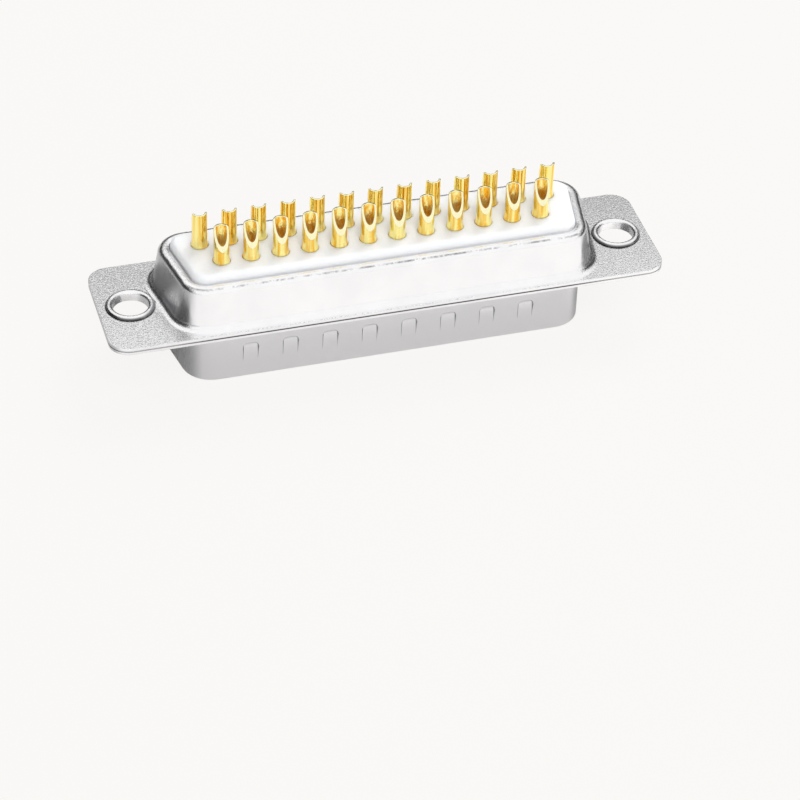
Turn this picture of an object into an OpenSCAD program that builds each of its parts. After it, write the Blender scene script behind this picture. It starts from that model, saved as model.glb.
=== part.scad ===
// D-shaped plug connector with 25 turned contacts and solder cups.
// The origin is midway between the two flange holes, on the face of the flange that meets the panel.
// +Z points to the solder cups and -Z to the mating side. The narrow side of the D lies at -Y.

/* [Mating shell] */
// Distance from the end of the flange to the inside of the mating shell, where the shell is longest
shell_inset = 7.04; // [6.9:0.02:7.4]
// Inside width of the mating shell
mating_w = 8.36; // [8.2:0.02:9]
// Angle of the two slanted ends of the D
slant = 10; // [6:1:14]
// Inside corner radius of the mating shell
mating_r = 2.5; // [2:0.1:3]
// How far the mating shell stands out from the flange
mating_depth = 5.8; // [5.2:0.1:7]
// Radius of the bend between the flange and the mating shell, on its outside
front_bend_r = 0.9; // [0.7:0.05:1]

/* [Sheet and flange] */
// Thickness of the sheet of both shells
sheet = 0.36; // [0.3:0.02:0.45]
// Length of the flange
flange_l = 53.04; // [48:0.02:58]
// Width of the flange
flange_w = 12.55; // [12.35:0.05:14]
// Corner radius of the flange
flange_r = 1.9; // [1:0.1:3]
// Distance from the end of the flange to the axis of a flange hole
hole_inset = 3; // [2.8:0.02:3.1]
// Clear diameter of the flange holes
hole_d = 3.3; // [2.9:0.05:3.4]

/* [Eyelets] */
// Wall of the eyelet that is drawn out of each flange hole
eyelet_wall = 0.3; // [0.22:0.02:0.34]
// Diameter of the flared eyelet ring
eyelet_ring_d = 4.6; // [4.5:0.05:4.75]
// Radius at the mouth of the hole, on the panel side
hole_mouth_r = 0.18; // [0.1:0.02:0.2]

/* [Pressed dimples] */
// Number of dimples on each long wall
dimple_count = 8; // [2:1:9]
// Distance between two dimples
dimple_pitch = 3.79; // [3:0.01:3.9]
// Width of a dimple
dimple_w = 1.4; // [1:0.05:1.6]
// Length of a dimple, from its step to where its ramp ends
dimple_l = 2.1; // [1.6:0.1:2.4]
// How deep a dimple is pressed in
dimple_depth = 0.26; // [0.16:0.02:0.28]
// Distance from the flange to the step of a dimple
dimple_start = 2.1; // [1.7:0.1:2.4]
// Corner radius of a dimple's step
dimple_r = 0.4; // [0.2:0.05:0.45]

/* [Rear shell] */
// Distance from the inside of the mating shell out to where the rear shell's bend leaves the flange
base_out = 2; // [1.9:0.02:2.06]
// Height of the rear shell above the flange
rear_h = 4.15; // [4:0.05:4.6]
// Angle by which the walls of the rear shell lean inward
draft = 10; // [6:1:12]
// Radius of the bend between the flange and the rear shell, on its outside
rear_bend_r = 0.75; // [0.6:0.05:0.9]
// Outside radius of the shoulder of the rear shell
shoulder_r = 0.7; // [0.55:0.05:0.8]
// Width of the lip inside the shoulder
lip_w = 0.4; // [0.3:0.02:0.5]
// Angle by which the lip turns down toward the island
lip_turn = 28; // [10:1:35]
// How much tighter the corners of the rear shell are than those of the mating shell, at equal size
tighter = 0.6; // [0.2:0.1:0.8]

/* [Insulators] */
// Height of the joint between the two insulators, above the panel face of the flange
joint_z = 2.2; // [2:0.1:2.8]
// How far the island of the rear insulator stands above the lip
island_rise = 0.66; // [0.62:0.02:0.8]
// Radius of the island's upper edge
island_r = 0.6; // [0.4:0.02:0.62]

/* [Contacts] */
// Distance between the contacts of a row
pitch = 2.77; // [2.7:0.01:2.79]
// Least distance from the axis of an end contact to the inside of the mating shell
end_room = 2.8; // [2.7:0.01:2.85]
// Distance between the two rows
row_gap = 2.84; // [2.7:0.02:3]
// Diameter of a pin
pin_d = 1; // [0.9:0.02:1.06]
// How far the pins reach past the flange
pin_reach = 5.5; // [5:0.1:5.8]
// Diameter of a pin's neck inside the front insulator
neck_d = 1.36; // [1.3:0.02:1.5]
// Diameter of the shoulder that the insulators hold
collar_d = 2; // [1.9:0.05:2.2]
// Thickness of that shoulder
collar_t = 1; // [0.8:0.1:1.2]
// Diameter of the contact where it leaves the rear insulator
body_d = 1.62; // [1.56:0.02:1.7]
// Height of the taper between that diameter and the cup
taper_h = 0.5; // [0.3:0.05:0.8]
// Outside diameter of a solder cup
cup_d = 1.42; // [1.36:0.02:1.5]
// Height of the cups above the rear insulator
cup_h = 3.6; // [3.3:0.1:4.4]
// Bore of a solder cup
cup_bore_d = 1; // [0.9:0.02:1.08]
// Depth of that bore to where its drilled cone starts
cup_bore_h = 2.8; // [2.6:0.1:3]
// Height of the slanted cut
cup_cut_h = 2.3; // [2:0.1:2.6]
// How far behind the contact's axis the slanted cut starts
cup_cut_back = 0.1; // [0:0.02:0.2]

/* [Clearances] */
// Between the insulators and the shells
shell_gap = 0.02; // [0.01:0.01:0.04]
// Between the island and the lip around it
lip_gap = 0.06; // [0.02:0.01:0.08]
// Between the front insulator and the bend that it sits in
bend_gap = 0.03; // [0.02:0.01:0.05]
// Between a contact and its holes
contact_gap = 0.02; // [0.01:0.01:0.04]
// Between an eyelet and the rear shell
eyelet_gap = 0.02; // [0.01:0.01:0.04]

/* [Hidden] */
$fn = 48;
steel_colour = [0.78, 0.78, 0.8];
plastic_colour = [0.95, 0.95, 0.93];
gold_colour = [0.95, 0.78, 0.35];
// Slack that cutting tools reach past the faces they cut
over = 0.5;
drill_angle = 118;

// Length of the inside of the mating shell, where it is longest, and its half width and half length on the axes
mating_l = flange_l - 2 * shell_inset;
half_w = mating_w / 2;
half_l = mating_l / 2 - mating_r + mating_r / cos(slant) - (half_w - mating_r) * tan(slant);
// Straight pieces in each corner of the D, in each bend of the sheet and across the lip
corner_steps = 9;
bend_steps = 7;
lip_steps = 4;

// Heights, from the panel face of the flange
joint_plane = sheet;
flange_top = 2 * sheet;
rear_top = flange_top + rear_h;
lip_under = rear_top - sheet;
shoulder_z = rear_top - shoulder_r;
wall_foot_z = flange_top + rear_bend_r * (1 - sin(draft));
wall_head_z = shoulder_z + shoulder_r * sin(draft);
island_top = rear_top + island_rise;
collar_z = joint_z - collar_t;
cup_top = island_top + cup_h;

// Distances outward from the inside of the mating shell. wall_out is that of the rear shell's wall at
// height z, inset measured inward from its outside.
wall_foot_out = base_out - rear_bend_r * cos(draft);
function wall_out(z, inset) = wall_foot_out - (z - wall_foot_z) * tan(draft) - inset / cos(draft);
shoulder_out = wall_out(wall_head_z, 0) - shoulder_r * cos(draft);
lip_out = shoulder_out - lip_w;
lip_r = lip_w / sin(lip_turn);
island_out = lip_out - lip_gap;
inner_inset = sheet + shell_gap;

hole_span = flange_l - 2 * hole_inset;
hole_r = hole_d / 2;
eyelet_r = hole_r + eyelet_wall;

// The row on the wide side holds as many contacts as fit, and the other row one less
wide_row_l = 2 * (half_l + row_gap / 2 * tan(slant) - end_room);
wide_count = floor(wide_row_l / pitch) + 1;
narrow_count = wide_count - 1;
contact_count = narrow_count + wide_count;

function two_digits(i) = str(i < 10 ? "0" : "", i);
function contact_name(i) = str("contact_", two_digits(i));

// Contact 1 is on the wide side at +X, and the narrow row follows the wide row
function in_wide_row(i) = i <= wide_count;
function contact_x(i) =
    in_wide_row(i) ? (wide_count - 1) / 2 - (i - 1) : (narrow_count - 1) / 2 - (i - wide_count - 1);
function contact_side(i) = in_wide_row(i) ? 1 : -1;
function contact_place(i) = [contact_x(i) * pitch, contact_side(i) * row_gap / 2, 0];

function arc_points(centre, r, from, to, steps) =
    [for (i = [0:steps]) let (a = from + (to - from) * i / steps) centre + r * [cos(a), sin(a)]];
function mirrored(p) = [-p[0], p[1]];

// The D outline, grown outward from the inside of the mating shell. tight takes from its corner radius.
function d_corner(y, out, r) = [half_l + (out - r) / cos(slant) + y * tan(slant), y];
function d_outline(out, tight) =
    let (
        r = mating_r + out - tight,
        wide = d_corner(half_w + out - r, out, r),
        narrow = d_corner(r - half_w - out, out, r)
    )
    concat(
        arc_points(wide, r, -slant, 90, corner_steps),
        arc_points(mirrored(wide), r, 90, 180 + slant, corner_steps),
        arc_points(mirrored(narrow), r, 180 + slant, 270, corner_steps),
        arc_points(narrow, r, 270, 360 - slant, corner_steps)
    );

// A solid with a D outline at each level, from the lowest up. A level is [outward growth, height].
module d_solid(levels, tight = 0) {
    rings = [for (level = levels) [for (p = d_outline(level[0], tight)) [p[0], p[1], level[1]]]];
    n = len(rings[0]);
    last = len(levels) - 1;
    sides = [
        for (k = [0:last - 1])
            for (i = [0:n - 1])
                [k * n + i, (k + 1) * n + i, (k + 1) * n + (i + 1) % n, k * n + (i + 1) % n]
    ];
    bottom = [for (i = [0:n - 1]) i];
    top = [for (i = [n - 1:-1:0]) last * n + i];
    polyhedron([for (ring = rings) each ring], concat([bottom, top], sides));
}

module flange(from_z, bore_r) {
    inset = [flange_l / 2 - flange_r, flange_w / 2 - flange_r];
    difference() {
        translate([0, 0, from_z])
            linear_extrude(sheet) {
                square([flange_l - 2 * flange_r, flange_w], center = true);
                square([flange_l, flange_w - 2 * flange_r], center = true);
                for (x = [-inset[0], inset[0]])
                    for (y = [-inset[1], inset[1]])
                        translate([x, y])
                            circle(flange_r);
            }
        at_holes()
            translate([0, 0, from_z - over])
                cylinder(h = sheet + 2 * over, r = bore_r);
    }
}

module at_holes() {
    for (x = [-hole_span / 2, hole_span / 2])
        translate([x, 0, 0])
            children();
}

// Tube drawn out of the flange, with a rounded mouth and a half round ring flared over the rear shell
module eyelet() {
    ring_r = (eyelet_ring_d / 2 - hole_r) / 2;
    rotate_extrude() {
        translate([hole_r, hole_mouth_r])
            square([eyelet_wall, flange_top - hole_mouth_r]);
        translate([hole_r + hole_mouth_r, 0])
            square([eyelet_wall - hole_mouth_r, hole_mouth_r]);
        translate([hole_r + hole_mouth_r, hole_mouth_r])
            intersection() {
                circle(hole_mouth_r);
                translate([-hole_mouth_r, -hole_mouth_r])
                    square(hole_mouth_r);
            }
        translate([hole_r + ring_r, flange_top])
            intersection() {
                circle(ring_r);
                translate([-ring_r, 0])
                    square([2 * ring_r, ring_r]);
            }
    }
}

// A dimple's form: a step across the wall, deepest toward the flange, and a ramp that runs out toward
// the rim. grow widens it for the bump that it raises on the inside.
module dimple_form(grow) {
    w = dimple_w + 2 * grow;
    l = dimple_l + grow;
    r = dimple_r + grow;
    intersection() {
        translate([0, 0, grow])
            rotate([90, 0, 90])
                linear_extrude(w, center = true)
                    polygon([[0, 0], [0, -l], [dimple_depth, -l / 6], [dimple_depth, 0]]);
        rotate([-90, 0, 0])
            linear_extrude(dimple_depth)
                translate([0, -grow]) {
                    translate([-w / 2, r])
                        square([w, l - r]);
                    translate([r - w / 2, 0])
                        square([w - 2 * r, r]);
                    for (x = [r - w / 2, w / 2 - r])
                        translate([x, r])
                            circle(r);
                }
    }
}

// Places a form against the outside of both long walls, depth sheets further in
module at_dimples(depth) {
    for (turn = [0, 180])
        rotate(turn)
            for (i = [0:dimple_count - 1])
                translate([(i - (dimple_count - 1) / 2) * dimple_pitch, depth - half_w - sheet, -dimple_start])
                    children();
}

// The bend between the flange and the mating shell, r from its centre
function front_bend(r, from = 180, to = 90) =
    arc_points([sheet + front_bend_r, -front_bend_r], r, from, to, bend_steps);

// The bend between the flange and the rear shell's wall, the shoulder at the top of that wall, and the
// lip that turns down inside the shoulder
function rear_bend(r) =
    arc_points([base_out, flange_top + rear_bend_r], r, 270, 180 + draft, bend_steps);
function shoulder(r) = arc_points([shoulder_out, shoulder_z], r, draft, 90, bend_steps);
function lip_point(r, turn) = [shoulder_out - r * sin(turn), rear_top - lip_r + r * cos(turn)];
function lip(r, past = 0) = [for (i = [1:lip_steps]) lip_point(r, (lip_turn + past) * i / lip_steps)];

module front_shell() color(steel_colour) {
    outside = concat([[sheet, -mating_depth]], front_bend(front_bend_r), [[sheet + front_bend_r, sheet / 2]]);
    inside = concat(
        [[0, -mating_depth - over]],
        front_bend(front_bend_r + sheet),
        [[sheet + front_bend_r, sheet + over]]
    );
    difference() {
        union() {
            difference() {
                union() {
                    flange(0, eyelet_r);
                    d_solid(outside);
                }
                d_solid(inside);
            }
            at_holes() eyelet();
            at_dimples(sheet) dimple_form(sheet / 2);
        }
        at_dimples(0) dimple_form(0);
    }
}

module rear_shell() color(steel_colour) {
    past_lip = lip_point(lip_r + sheet / 2, lip_turn);
    outside = concat(
        [[base_out, flange_top - sheet / 2]],
        rear_bend(rear_bend_r),
        shoulder(shoulder_r),
        lip(lip_r, 4)
    );
    inside = concat(
        [[base_out, joint_plane - over]],
        rear_bend(rear_bend_r + sheet),
        shoulder(shoulder_r - sheet),
        lip(lip_r - sheet),
        [past_lip, [past_lip[0], rear_top + over]]
    );
    difference() {
        union() {
            flange(joint_plane, eyelet_r + eyelet_gap);
            d_solid(outside, tighter);
        }
        d_solid(inside, tighter);
        // The rings press the foot of the bend flat where they reach it
        at_holes()
            translate([0, 0, flange_top])
                cylinder(h = rear_h, d = eyelet_ring_d);
    }
}

module at_contacts() {
    for (i = [1:contact_count])
        translate(contact_place(i))
            children();
}

// The face of the front insulator flares outward to follow the bend of the front shell
module front_insulator() color(plastic_colour) {
    rim_out = wall_out(joint_z, inner_inset);
    seat_r = front_bend_r + sheet + bend_gap;
    seat_from = 180 - asin(front_bend_r / seat_r);
    seat_to = 180 - acos((sheet + front_bend_r - rim_out) / seat_r);
    difference() {
        d_solid(concat(front_bend(seat_r, seat_from, seat_to), [[rim_out, joint_z]]));
        at_contacts() {
            translate([0, 0, -over])
                cylinder(h = collar_z + 2 * over, d = neck_d + 2 * contact_gap);
            translate([0, 0, collar_z])
                cylinder(h = collar_t + over, d = collar_d + 2 * contact_gap);
        }
    }
}

module rear_insulator() color(plastic_colour) {
    ledge = lip(lip_r - sheet);
    neck_out = shoulder_out - shell_gap;
    edge = arc_points([island_out - island_r, island_top - island_r], island_r, 0, 90, bend_steps);
    difference() {
        d_solid(concat(
            [for (z = [joint_z, shoulder_z]) [wall_out(z, inner_inset), z]],
            [[neck_out, shoulder_z], [neck_out, ledge[0][1]]],
            ledge,
            [[island_out, ledge[lip_steps - 1][1]]],
            edge
        ), tighter);
        at_contacts()
            translate([0, 0, joint_z - over])
                cylinder(h = island_top - joint_z + 2 * over, d = body_d + 2 * contact_gap);
    }
}

// Half section of a turned contact, without its bore
module contact_section() {
    pin_r = pin_d / 2;
    intersection() {
        translate([0, pin_r - pin_reach])
            circle(pin_r);
        translate([0, -pin_reach])
            square([pin_r, pin_r]);
    }
    polygon([
        [0, pin_r - pin_reach],
        [pin_r, pin_r - pin_reach],
        [pin_r, 0],
        [neck_d / 2, 0],
        [neck_d / 2, collar_z],
        [collar_d / 2, collar_z],
        [collar_d / 2, joint_z],
        [body_d / 2, joint_z],
        [body_d / 2, island_top],
        [cup_d / 2, island_top + taper_h],
        [cup_d / 2, cup_top],
        [0, cup_top]
    ]);
}

// Cuts the side of a cup away along a plane, on its -Y side
module cup_cut() {
    slope = cup_cut_h / (cup_d / 2 + cup_cut_back);
    reach = cup_d + cup_cut_back;
    rotate([90, 0, 90])
        linear_extrude(2 * cup_d, center = true)
            polygon([
                [cup_cut_back + over, cup_top + slope * over],
                [cup_cut_back - reach, cup_top - slope * reach],
                [cup_cut_back - reach, cup_top + slope * over]
            ]);
}

module contact(i) color(gold_colour) {
    bore_r = cup_bore_d / 2;
    bore_z = cup_top - cup_bore_h;
    cone_h = bore_r / tan(drill_angle / 2);
    translate(contact_place(i))
        rotate(in_wide_row(i) ? 180 : 0)
            difference() {
                rotate_extrude()
                    contact_section();
                translate([0, 0, bore_z])
                    cylinder(h = cup_bore_h + over, r = bore_r);
                translate([0, 0, bore_z - cone_h])
                    cylinder(h = cone_h, r1 = 0, r2 = bore_r);
                cup_cut();
            }
}

front_shell();
rear_shell();
front_insulator();
rear_insulator();
for (i = [1:contact_count])
    contact(i);
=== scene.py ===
"""Looks of a D-shaped plug connector: camera, finishes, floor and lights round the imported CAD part."""
import math

import bpy
from mathutils import Matrix, Vector

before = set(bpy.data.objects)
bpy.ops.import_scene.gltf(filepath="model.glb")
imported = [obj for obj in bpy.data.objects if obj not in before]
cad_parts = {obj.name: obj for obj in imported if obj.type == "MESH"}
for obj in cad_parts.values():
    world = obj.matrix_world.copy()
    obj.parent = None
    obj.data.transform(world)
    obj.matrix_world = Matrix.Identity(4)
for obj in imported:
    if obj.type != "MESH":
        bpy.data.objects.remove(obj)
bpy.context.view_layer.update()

MM = 0.001

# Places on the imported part, in millimetres from its origin. The finishes are laid out by them.
FLANGE_TOP = 0.72
JOINT_Z = 0.36
RIM_Z = -5.8
RING_FOOT_Z = 0.5
SHOULDER_Z = 4.3
MATING_Y = 4.54
DIMPLES_TOP_Z = -0.9
DIMPLES_FOOT_Z = -5.2
DIMPLES_TO_X = 15.0
JOINT_FROM_X = 25.4
JOINT_FROM_Y = 5.6
HOLE_X = 23.52
RING_R = 2.3
BORE_R = 0.5
BORE_FOOT_Z = 5.95
TAPER_TOP_Z = 6.04
BORE_SLACK = 0.02
CUT_FACES_UP = 0.2

# Camera fitted to the photograph: azimuth, elevation and roll in radians, and where it sees the middle of
# the flange's upper face, in millimetres to the right, down and ahead.
AZIMUTH = -0.301
ELEVATION = 0.685
ROLL = 0.036
SEEN = (-2.102, -12.219, 291.246)
FOCAL_PX = 3119.4
IMAGE_PX = 800
SENSOR_MM = 36.0
NEAREST_M = 0.01
FARTHEST_M = 10

# Edges that turn by more than SHARP are broken. EDGES gives the width in millimetres and the segments.
SHARP = math.radians(31)
SAME_POINT_M = 1e-6
SAME_PLANE = 0.003
EDGES = {"front_shell": (0.08, 3), "rear_shell": (0.04, 2), "insulator": (0.05, 2), "contact": (0.04, 3)}

# Tones of the finishes
NICKEL = (0.96, 0.956, 0.964)
NICKEL_CLOUDED = (0.92, 0.917, 0.928)
# Painted shade: the mating wall is painted darker, for the shadowed floor it mirrors.
NICKEL_PAINTED_SHADE_ON_MATING_WALL = (0.8, 0.795, 0.81)
# Painted shade: the end walls are painted darker than the rest of the nickel.
NICKEL_PAINTED_SHADE_ON_ENDS = (0.48, 0.48, 0.49)
GRAIN_DARK = (0.62, 0.62, 0.63)
GRAIN_LIGHT = (1.0, 1.0, 1.0)
# Tone of the painted lines: painted shadow and painted dark reflections.
PAINTED_DARK_LINE = (0.12, 0.12, 0.12)
PLASTIC = (0.885, 0.893, 0.91)
PLASTIC_CLOUDED = (0.86, 0.868, 0.885)
GOLD_DEEP = (0.92, 0.53, 0.06)
GOLD_LIGHT = (1.0, 0.89, 0.35)
# Painted light: the bore's gold is painted a little deeper and made partly diffuse, so the shaded bore shows
# light.
BORE_DEEP = (0.97, 0.52, 0.03)
BORE_LIGHT = (1.0, 0.93, 0.4)
# Painted highlight: the slanted cut of each cup is painted pale.
CUT_PAINTED_HIGHLIGHT = (1.0, 0.96, 0.62)

# Stage: the floor lies FLOOR_GAP millimetres below the rim and reaches FLOOR_HALF metres each way.
FLOOR_GAP = 0.02
FLOOR_HALF = 1.0
FLOOR_COLOUR = (0.81, 0.8, 0.79)
GLOW_COLOUR = (0.956, 0.939, 0.922)
GLOW = 0.93
MIRRORED_GLOW = 0.05
ROOM_LIGHT = 0.8
ROOM_DARK = 0.06


def make_camera():
    back = Vector(
        (
            math.sin(AZIMUTH) * math.cos(ELEVATION),
            -math.cos(AZIMUTH) * math.cos(ELEVATION),
            math.sin(ELEVATION),
        )
    )
    level_right = (-back).cross(Vector((0, 0, 1))).normalized()
    level_up = level_right.cross(-back)
    right = math.cos(ROLL) * level_right + math.sin(ROLL) * level_up
    up = math.cos(ROLL) * level_up - math.sin(ROLL) * level_right
    place = -right * SEEN[0] + up * SEEN[1] + back * SEEN[2]
    place.z += FLANGE_TOP
    data = bpy.data.cameras.new("camera")
    data.sensor_width = SENSOR_MM
    data.lens = FOCAL_PX / IMAGE_PX * SENSOR_MM
    data.clip_start = NEAREST_M
    data.clip_end = FARTHEST_M
    camera = bpy.data.objects.new("camera", data)
    bpy.context.scene.collection.objects.link(camera)
    turn = Matrix((right, up, back)).transposed().to_4x4()
    camera.matrix_world = Matrix.Translation(place * MM) @ turn
    bpy.context.scene.camera = camera


# Geometry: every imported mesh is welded, its edges are broken as a press or a lathe leaves them, and what
# lies between sharp edges is shaded smooth.
def smoothing_group():
    group = bpy.data.node_groups.new("smooth_between_sharp_edges", "GeometryNodeTree")
    for way in ("INPUT", "OUTPUT"):
        group.interface.new_socket("Geometry", in_out=way, socket_type="NodeSocketGeometry")
    nodes, links = group.nodes, group.links
    enter = nodes.new("NodeGroupInput")
    leave = nodes.new("NodeGroupOutput")
    angle = nodes.new("GeometryNodeInputMeshEdgeAngle")
    flat_enough = nodes.new("FunctionNodeCompare")
    flat_enough.operation = "LESS_THAN"
    flat_enough.inputs["B"].default_value = SHARP
    drop = nodes.new("GeometryNodeRemoveAttribute")
    drop.inputs["Name"].default_value = "custom_normal"
    faces = nodes.new("GeometryNodeSetShadeSmooth")
    faces.domain = "FACE"
    edges = nodes.new("GeometryNodeSetShadeSmooth")
    edges.domain = "EDGE"
    links.new(enter.outputs[0], drop.inputs["Geometry"])
    links.new(drop.outputs[0], faces.inputs["Geometry"])
    links.new(faces.outputs[0], edges.inputs["Geometry"])
    links.new(angle.outputs["Unsigned Angle"], flat_enough.inputs["A"])
    links.new(flat_enough.outputs["Result"], edges.inputs["Shade Smooth"])
    links.new(edges.outputs[0], leave.inputs[0])
    return group


def finish_mesh(obj, group, edge_mm, segments):
    weld = obj.modifiers.new("weld", "WELD")
    weld.merge_threshold = SAME_POINT_M
    merge = obj.modifiers.new("merge_flat_faces", "DECIMATE")
    merge.decimate_type = "DISSOLVE"
    merge.angle_limit = SAME_PLANE
    merge.delimit = {"MATERIAL"}
    bevel = obj.modifiers.new("broken_edges", "BEVEL")
    bevel.width = edge_mm * MM
    bevel.segments = segments
    bevel.limit_method = "ANGLE"
    bevel.angle_limit = SHARP
    bevel.use_clamp_overlap = False
    bevel.loop_slide = False
    smooth = obj.modifiers.new("smooth", "NODES")
    smooth.node_group = group
    flatten = obj.modifiers.new("flat_faces_stay_flat", "WEIGHTED_NORMAL")
    flatten.mode = "FACE_AREA_WITH_ANGLE"
    flatten.weight = 100
    flatten.keep_sharp = True


# Finishes. What they call a line is painted: it stands for a dark reflection or for the shadow in a gap.
def new_material(name):
    material = bpy.data.materials.new(name)
    material.use_nodes = True
    return material


class Tree:
    """A shader's nodes, with short calls for the ones used here."""

    def __init__(self, tree):
        self.nodes = tree.nodes
        self.links = tree.links
        self.shader = self.nodes.get("Principled BSDF")
        coordinates = self.nodes.new("ShaderNodeTexCoord")
        self.object = coordinates.outputs["Object"]
        self.normal = coordinates.outputs["Normal"]
        self.generated = coordinates.outputs["Generated"]

    def put(self, socket, value):
        if hasattr(value, "is_linked"):
            self.links.new(value, socket)
        elif isinstance(value, tuple):
            socket.default_value = (*value, 1) if len(socket.default_value) > len(value) else value
        else:
            socket.default_value = value

    def scaled(self, x, y, z):
        """Object coordinates times x, y and z, which are in features per millimetre."""
        node = self.nodes.new("ShaderNodeMapping")
        node.inputs["Scale"].default_value = (x / MM, y / MM, z / MM)
        self.links.new(self.object, node.inputs["Vector"])
        return node.outputs[0]

    def noise(self, vector, detail=2.0, roughness=0.5, distortion=0.0):
        node = self.nodes.new("ShaderNodeTexNoise")
        node.inputs["Scale"].default_value = 1
        node.inputs["Detail"].default_value = detail
        node.inputs["Roughness"].default_value = roughness
        node.inputs["Distortion"].default_value = distortion
        self.links.new(vector, node.inputs["Vector"])
        return node.outputs["Fac"]

    def spread(self, value, from_low, from_high, to_low=0.0, to_high=1.0, smooth=False):
        """Value, turned from the first range into the second and kept inside it."""
        node = self.nodes.new("ShaderNodeMapRange")
        if smooth:
            node.interpolation_type = "SMOOTHSTEP"
        self.put(node.inputs["Value"], value)
        self.put(node.inputs["From Min"], from_low)
        self.put(node.inputs["From Max"], from_high)
        self.put(node.inputs["To Min"], to_low)
        self.put(node.inputs["To Max"], to_high)
        return node.outputs["Result"]

    def math(self, operation, a, b=0.0):
        node = self.nodes.new("ShaderNodeMath")
        node.operation = operation
        self.put(node.inputs[0], a)
        self.put(node.inputs[1], b)
        return node.outputs[0]

    def magnitude(self, value):
        return self.math("ABSOLUTE", value)

    def product(self, first, *others):
        for other in others:
            first = self.math("MULTIPLY", first, other)
        return first

    def spread_mm(self, value, start_mm, end_mm, to_low=0.0, to_high=1.0, smooth=False):
        """Spread of a distance, with its start and end given in millimetres."""
        return self.spread(value, start_mm * MM, end_mm * MM, to_low, to_high, smooth)

    def part(self, vector, axis):
        node = self.nodes.new("ShaderNodeSeparateXYZ")
        self.links.new(vector, node.inputs[0])
        return node.outputs[axis]

    def mix(self, share, a, b):
        node = self.nodes.new("ShaderNodeMix")
        node.data_type = "RGBA"
        self.put(node.inputs["Factor"], share)
        self.put(node.inputs["A"], a)
        self.put(node.inputs["B"], b)
        return node.outputs["Result"]

    def bump(self, height, depth_mm, before=None):
        node = self.nodes.new("ShaderNodeBump")
        node.inputs["Strength"].default_value = 1
        node.inputs["Distance"].default_value = depth_mm * MM
        self.links.new(height, node.inputs["Height"])
        if before is not None:
            self.links.new(before, node.inputs["Normal"])
        return node.outputs["Normal"]

    def set(self, name, value):
        self.put(self.shader.inputs[name], value)


def flange_joint(t, x, y, z):
    """Painted shadow in the gap between the edges of the two flanges, which shows less near the ends."""
    at_end = t.math("GREATER_THAN", t.magnitude(x), JOINT_FROM_X * MM)
    at_side = t.math("GREATER_THAN", t.magnitude(y), JOINT_FROM_Y * MM)
    off_joint = t.magnitude(t.math("SUBTRACT", z, JOINT_Z * MM))
    gap = t.product(t.math("MAXIMUM", at_end, at_side), t.spread_mm(off_joint, 0.1, 0.05))
    return t.product(gap, t.spread_mm(t.magnitude(x), 17.0, 21.0, 1.0, 0.6))


def ring_foot(t, x, y, z):
    """Painted shade round the foot of each eyelet ring, darkest on the side of -X and -Y, away from the
    light.
    """
    from_hole = t.math("SUBTRACT", t.magnitude(x), HOLE_X * MM)
    squares = t.math("ADD", t.math("POWER", from_hole, 2.0), t.math("POWER", y, 2.0))
    radius = t.math("SQRT", squares)
    inner = t.spread_mm(radius, RING_R - 0.18, RING_R - 0.02, smooth=True)
    outer = t.spread_mm(radius, RING_R + 0.07, RING_R + 0.02)
    hole_x = t.product(t.math("SIGN", x), HOLE_X * MM)
    towards_light = t.math("ADD", t.math("SUBTRACT", x, hole_x), y)
    shade = t.spread_mm(towards_light, 1.6, -1.8, 0.3, 1.0)
    return t.product(inner, outer, shade, t.math("GREATER_THAN", z, RING_FOOT_Z * MM))


def dimple_edges(t, x, y, z):
    """Painted dark reflection on the steps and flanks of the pressed dimples, darkest on the flank that
    faces +X.
    """
    normal_x = t.part(t.normal, "X")
    step = t.spread(t.part(t.normal, "Z"), -0.15, -0.35)
    flank = t.product(t.spread(t.magnitude(normal_x), 0.2, 0.4), t.spread(normal_x, -0.1, 0.1, 0.35, 1.0))
    on_long_wall = t.math("LESS_THAN", t.magnitude(x), DIMPLES_TO_X * MM)
    below = t.math("LESS_THAN", z, DIMPLES_TOP_Z * MM)
    above = t.math("GREATER_THAN", z, DIMPLES_FOOT_Z * MM)
    outside = t.spread_mm(t.magnitude(y), MATING_Y - 0.09, MATING_Y - 0.05)
    return t.product(t.math("MAXIMUM", step, flank), on_long_wall, t.product(below, above), outside)


def shoulder_dark_reflection(t, z, facing_up):
    """Painted dark reflection, broken up, along the shoulder of the rear shell."""
    band = t.product(t.spread(facing_up, 0.72, 0.8), t.spread(facing_up, 0.92, 0.88))
    band = t.product(band, t.math("GREATER_THAN", z, SHOULDER_Z * MM))
    broken = t.noise(t.scaled(0.55, 0.55, 0.55), detail=6, roughness=0.85)
    return t.product(band, t.spread(broken, 0.44, 0.6, 0.0, 0.75))


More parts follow.
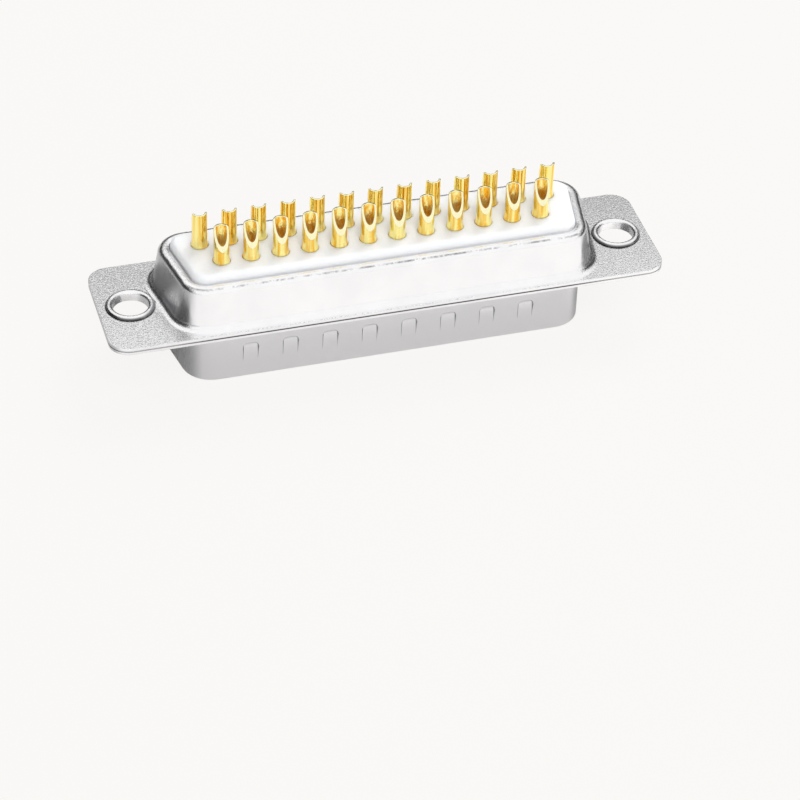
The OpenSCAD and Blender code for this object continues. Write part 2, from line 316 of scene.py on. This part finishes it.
def plated_steel():
    """Nickel on drawn sheet: grainy where it stayed flat, bright and a little wavy where it was drawn."""
    material = new_material("plated_steel")
    t = Tree(material.node_tree)
    x, y, z = (t.part(t.object, axis) for axis in "XYZ")
    facing_up = t.magnitude(t.part(t.normal, "Z"))
    facing_end = t.magnitude(t.part(t.normal, "X"))
    over_front = t.spread_mm(z, -0.06, -0.02)
    under_top = t.spread_mm(z, FLANGE_TOP + 0.06, FLANGE_TOP + 0.02)
    flat = t.product(over_front, under_top, t.spread(facing_up, 0.995, 0.9995, smooth=True))
    drawn = t.math("SUBTRACT", 1.0, flat)
    bent = t.product(t.spread(facing_up, 0.12, 0.4, smooth=True), drawn)

    grain = t.noise(t.scaled(8, 8, 8), detail=1, roughness=0.5)
    speck = t.noise(t.scaled(6.5, 6.5, 6.5), detail=2, roughness=0.7, distortion=0.6)
    cloud = t.noise(t.scaled(0.35, 0.35, 0.35), detail=3, roughness=0.6)
    draw = t.noise(t.scaled(2.2, 2.2, 0.12), detail=3, roughness=0.6)

    # Painted shade: the flange's grain is painted darker towards the back and lighter towards the front.
    painted_back_shade = t.spread_mm(y, -5, 5, -0.05, 0.06)
    grain_share = t.spread(t.math("SUBTRACT", grain, painted_back_shade), 0.38, 0.56)
    grain_tone = t.mix(grain_share, GRAIN_DARK, GRAIN_LIGHT)
    drawn_tone = t.mix(t.spread(cloud, 0.35, 0.65), NICKEL, NICKEL_CLOUDED)
    # Painted shade: the mating wall below the flange is painted darker.
    drawn_tone = t.mix(t.spread_mm(z, -0.3, -0.8), drawn_tone, NICKEL_PAINTED_SHADE_ON_MATING_WALL)
    # Painted shade: the end walls are painted darker still.
    drawn_tone = t.mix(t.spread(facing_end, 0.45, 0.85, smooth=True), drawn_tone, NICKEL_PAINTED_SHADE_ON_ENDS)
    # Painted shadow and painted dark reflections, laid over the tones as dark lines.
    lines = t.math("MAXIMUM", flange_joint(t, x, y, z), ring_foot(t, x, y, z))
    lines = t.math("MAXIMUM", lines, dimple_edges(t, x, y, z))
    lines = t.math("MAXIMUM", lines, shoulder_dark_reflection(t, z, facing_up))
    t.set("Base Color", t.mix(lines, t.mix(flat, drawn_tone, grain_tone), PAINTED_DARK_LINE))
    t.set("Metallic", 1.0)

    drawn_rough = t.math("ADD", t.spread(cloud, 0.3, 0.7, 0.1, 0.16), t.spread(draw, 0.4, 0.7, 0.0, 0.04))
    drawn_rough = t.math("ADD", drawn_rough, t.spread(facing_end, 0.5, 0.9, 0.0, 0.14))
    flat_rough = t.spread(speck, 0.35, 0.65, 0.2, 0.34)
    t.set("Roughness", t.math("ADD", t.product(drawn_rough, drawn), t.product(flat_rough, flat)))

    draw_lines = t.bump(draw, 0.0006)
    bend_grain = t.bump(t.product(speck, bent), 0.022, draw_lines)
    t.set("Normal", t.bump(t.product(grain, flat), 0.022, bend_grain))
    return material


def white_plastic():
    material = new_material("white_plastic")
    t = Tree(material.node_tree)
    cloud = t.noise(t.scaled(0.3, 0.3, 0.3), detail=2)
    fine = t.noise(t.scaled(6, 6, 6), detail=2)
    t.set("Base Color", t.mix(t.spread(cloud, 0.3, 0.7), PLASTIC, PLASTIC_CLOUDED))
    t.set("Roughness", t.spread(fine, 0.3, 0.7, 0.26, 0.36))
    t.set("Normal", t.bump(fine, 0.0015))
    t.set("IOR", 1.5)
    t.set("Subsurface Weight", 0.6)
    t.set("Subsurface Radius", (1.0, 0.9, 0.8))
    t.set("Subsurface Scale", 1.2 * MM)
    return material


def gold_plating():
    material = new_material("gold_plating")
    t = Tree(material.node_tree)
    turned = t.noise(t.scaled(0.3, 0.3, 9), detail=2)
    ripple = t.noise(t.scaled(1.6, 1.6, 0.5), detail=2)
    stripe = t.noise(t.scaled(3.2, 3.2, 0.12), detail=1)
    t.set("Base Color", t.mix(t.spread(stripe, 0.32, 0.56), GOLD_DEEP, GOLD_LIGHT))
    t.set("Metallic", 1.0)
    t.set("Roughness", t.spread(turned, 0.35, 0.65, 0.05, 0.11))
    t.set("Normal", t.bump(ripple, 0.042, t.bump(turned, 0.0012)))
    return material


def drilled_gold():
    """Bore of a cup: a lit copy of the gold, partly diffuse as painted light in the shaded bore, rougher
    than the turned outside and painted deeper in colour.
    """
    material = new_material("gold_in_bore")
    t = Tree(material.node_tree)
    streak = t.noise(t.scaled(3.4, 3.4, 1.1), detail=3, roughness=0.6)
    t.set("Base Color", t.mix(t.spread(streak, 0.4, 0.58), BORE_DEEP, BORE_LIGHT))
    t.set("Metallic", 0.74)
    t.set("Roughness", 0.12)
    t.set("Normal", t.bump(streak, 0.12))
    return material


def milled_gold():
    """Slanted cut of a cup: satin, and painted pale as a highlight."""
    material = new_material("gold_on_cut")
    t = Tree(material.node_tree)
    t.set("Base Color", CUT_PAINTED_HIGHLIGHT)
    t.set("Metallic", 1.0)
    t.set("Roughness", 0.22)
    t.set("Normal", t.bump(t.noise(t.scaled(8, 8, 8), detail=1), 0.004))
    return material


def sort_cup_faces(mesh):
    """Gives the bore of a contact's cup the second material and the slanted cut the third."""
    xs = [v.co.x for v in mesh.vertices]
    ys = [v.co.y for v in mesh.vertices]
    axis = Vector(((min(xs) + max(xs)) / 2, (min(ys) + max(ys)) / 2))
    for face in mesh.polygons:
        middle = face.center.z / MM
        if middle < BORE_FOOT_Z:
            continue
        far = max((mesh.vertices[i].co.xy - axis).length for i in face.vertices) / MM
        if far < BORE_R + BORE_SLACK:
            face.material_index = 1
        elif middle > TAPER_TOP_Z and face.normal.z > CUT_FACES_UP:
            face.material_index = 2


# Stage
def white_stage_material():
    """Pale floor: it glows at the camera, keeps the part's shadow, and glows only faintly in the metal."""
    material = new_material("stage")
    t = Tree(material.node_tree)
    t.nodes.remove(t.shader)
    diffuse = t.nodes.new("ShaderNodeBsdfDiffuse")
    t.put(diffuse.inputs["Color"], FLOOR_COLOUR)
    glow = t.nodes.new("ShaderNodeEmission")
    t.put(glow.inputs["Color"], GLOW_COLOUR)
    path = t.nodes.new("ShaderNodeLightPath")
    straight = t.math("MAXIMUM", path.outputs["Is Camera Ray"], path.outputs["Is Transmission Ray"])
    mirrored = t.math("MULTIPLY", path.outputs["Is Glossy Ray"], MIRRORED_GLOW)
    both = t.nodes.new("ShaderNodeMixShader")
    t.links.new(t.math("MAXIMUM", t.math("MULTIPLY", straight, GLOW), mirrored), both.inputs[0])
    t.links.new(diffuse.outputs[0], both.inputs[1])
    t.links.new(glow.outputs[0], both.inputs[2])
    t.links.new(both.outputs[0], t.nodes["Material Output"].inputs["Surface"])
    return material


def make_floor():
    mesh = bpy.data.meshes.new("floor")
    z = (RIM_Z - FLOOR_GAP) * MM
    corners = [(-1, -1), (1, -1), (1, 1), (-1, 1)]
    mesh.from_pydata([(x * FLOOR_HALF, y * FLOOR_HALF, z) for x, y in corners], [], [(0, 1, 2, 3)])
    floor = bpy.data.objects.new("floor", mesh)
    bpy.context.scene.collection.objects.link(floor)
    mesh.materials.append(white_stage_material())


def softbox(name, place, side, power):
    """Square lamp that looks at the part and isn't mirrored in it; metres and watts."""
    light = bpy.data.lights.new(name, "AREA")
    light.shape = "SQUARE"
    light.size = side
    light.energy = power
    obj = bpy.data.objects.new(name, light)
    obj.location = place
    obj.rotation_euler = (-Vector(place)).to_track_quat("-Z", "Y").to_euler()
    obj.visible_glossy = False
    bpy.context.scene.collection.objects.link(obj)


def make_world():
    """Studio room: white overhead and in front, dark low down on the other sides and highest at the left."""
    world = bpy.data.worlds.new("studio")
    world.use_nodes = True
    t = Tree(world.node_tree)
    x, y, z = (t.part(t.generated, axis) for axis in "XYZ")
    back_wall = t.spread(y, -0.55, -0.15, -0.12, 0.52, smooth=True)
    left_wall = t.spread(x, -0.45, -0.7, 0.0, 0.2, smooth=True)
    above = t.math("SUBTRACT", z, t.math("ADD", back_wall, left_wall))
    room = t.spread(above, -0.05, 0.05, ROOM_DARK, 1.0, smooth=True)
    path = t.nodes.new("ShaderNodeLightPath")
    seen = t.math("MAXIMUM", path.outputs["Is Camera Ray"], path.outputs["Is Glossy Ray"])
    seen = t.math("MAXIMUM", seen, path.outputs["Is Transmission Ray"])
    t.put(t.nodes["Background"].inputs["Color"], room)
    t.put(t.nodes["Background"].inputs["Strength"], t.spread(seen, 0.0, 1.0, ROOM_LIGHT, 1.0))
    bpy.context.scene.world = world


MATERIALS = {
    "shell": (plated_steel(),),
    "insulator": (white_plastic(),),
    "contact": (gold_plating(), drilled_gold(), milled_gold()),
}
smoothing = smoothing_group()
for name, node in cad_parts.items():
    kind = next(word for word in MATERIALS if word in name)
    node.data.materials.clear()
    for material in MATERIALS[kind]:
        node.data.materials.append(material)
    if kind == "contact":
        sort_cup_faces(node.data)
    finish_mesh(node, smoothing, *next(EDGES[word] for word in EDGES if word in name))

make_camera()
make_floor()
make_world()
softbox("back", place=(0.2, 0.24, 0.3), side=0.22, power=0.95)
softbox("front", place=(0.0, -0.3, 0.35), side=0.25, power=0.8)
bpy.context.scene.view_settings.view_transform = "Standard"
